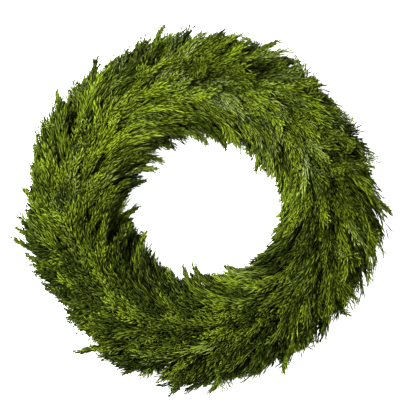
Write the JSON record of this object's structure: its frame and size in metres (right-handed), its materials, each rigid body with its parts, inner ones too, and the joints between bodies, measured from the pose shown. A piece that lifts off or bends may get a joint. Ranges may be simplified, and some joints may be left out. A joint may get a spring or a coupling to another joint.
{
  "type": "cypress wreath",
  "caption": "Round, dense wreath of fine thread-like cypress foliage swept clockwise, with its cut stems held in the clamps of a wire ring.",
  "frame": {"origin": "on the surface that the wreath lies on, under the middle of its ring", "axes": "+Z out of the wreath's face, along the ring's axis; +Y towards the top of the wreath as it hangs; +X to the right as one looks at the face"},
  "size_m": [0.6025, 0.5865, 0.1156],
  "materials": {
    "cypress_deep_green": "matt living foliage, deep green with some yellow-green and grey-green threads",
    "cypress_fresh_green": "matt living foliage, fresh yellow-green with some deep green threads",
    "green_coated_wire": "satin dark green coating on steel wire"
  },
  "bodies": {
    "root": {"clamp_ring": "green_coated_wire", "bunch_outer_01": "cypress_deep_green", "bunch_front_01": "cypress_fresh_green", "bunch_inner_01": "cypress_fresh_green", "bunch_outer_02": "cypress_fresh_green", "bunch_front_02": "cypress_deep_green", "bunch_inner_02": "cypress_deep_green", "bunch_outer_03": "cypress_deep_green", "bunch_front_03": "cypress_deep_green", "bunch_inner_03": "cypress_fresh_green", "bunch_outer_04": "cypress_fresh_green", "bunch_front_04": "cypress_deep_green", "bunch_inner_04": "cypress_fresh_green", "bunch_outer_05": "cypress_deep_green", "bunch_front_05": "cypress_deep_green", "bunch_inner_05": "cypress_deep_green", "bunch_outer_06": "cypress_fresh_green", "bunch_front_06": "cypress_deep_green", "bunch_inner_06": "cypress_fresh_green", "bunch_outer_07": "cypress_fresh_green", "bunch_front_07": "cypress_fresh_green", "bunch_inner_07": "cypress_deep_green", "bunch_outer_08": "cypress_deep_green", "bunch_front_08": "cypress_deep_green", "bunch_inner_08": "cypress_fresh_green", "bunch_outer_09": "cypress_deep_green", "bunch_front_09": "cypress_deep_green", "bunch_inner_09": "cypress_deep_green", "bunch_outer_10": "cypress_deep_green", "bunch_front_10": "cypress_deep_green", "bunch_inner_10": "cypress_deep_green", "bunch_outer_11": "cypress_fresh_green", "bunch_front_11": "cypress_fresh_green", "bunch_inner_11": "cypress_deep_green", "bunch_outer_12": "cypress_fresh_green", "bunch_front_12": "cypress_fresh_green", "bunch_inner_12": "cypress_deep_green", "bunch_outer_13": "cypress_deep_green", "bunch_front_13": "cypress_fresh_green", "bunch_inner_13": "cypress_fresh_green", "bunch_outer_14": "cypress_deep_green", "bunch_front_14": "cypress_deep_green", "bunch_inner_14": "cypress_fresh_green", "bunch_outer_15": "cypress_deep_green", "bunch_front_15": "cypress_deep_green", "bunch_inner_15": "cypress_deep_green", "bunch_outer_16": "cypress_deep_green", "bunch_front_16": "cypress_fresh_green", "bunch_inner_16": "cypress_fresh_green", "bunch_outer_17": "cypress_fresh_green", "bunch_front_17": "cypress_deep_green", "bunch_inner_17": "cypress_deep_green", "bunch_outer_18": "cypress_fresh_green", "bunch_front_18": "cypress_fresh_green", "bunch_inner_18": "cypress_fresh_green"}
  },
  "joints": []
}
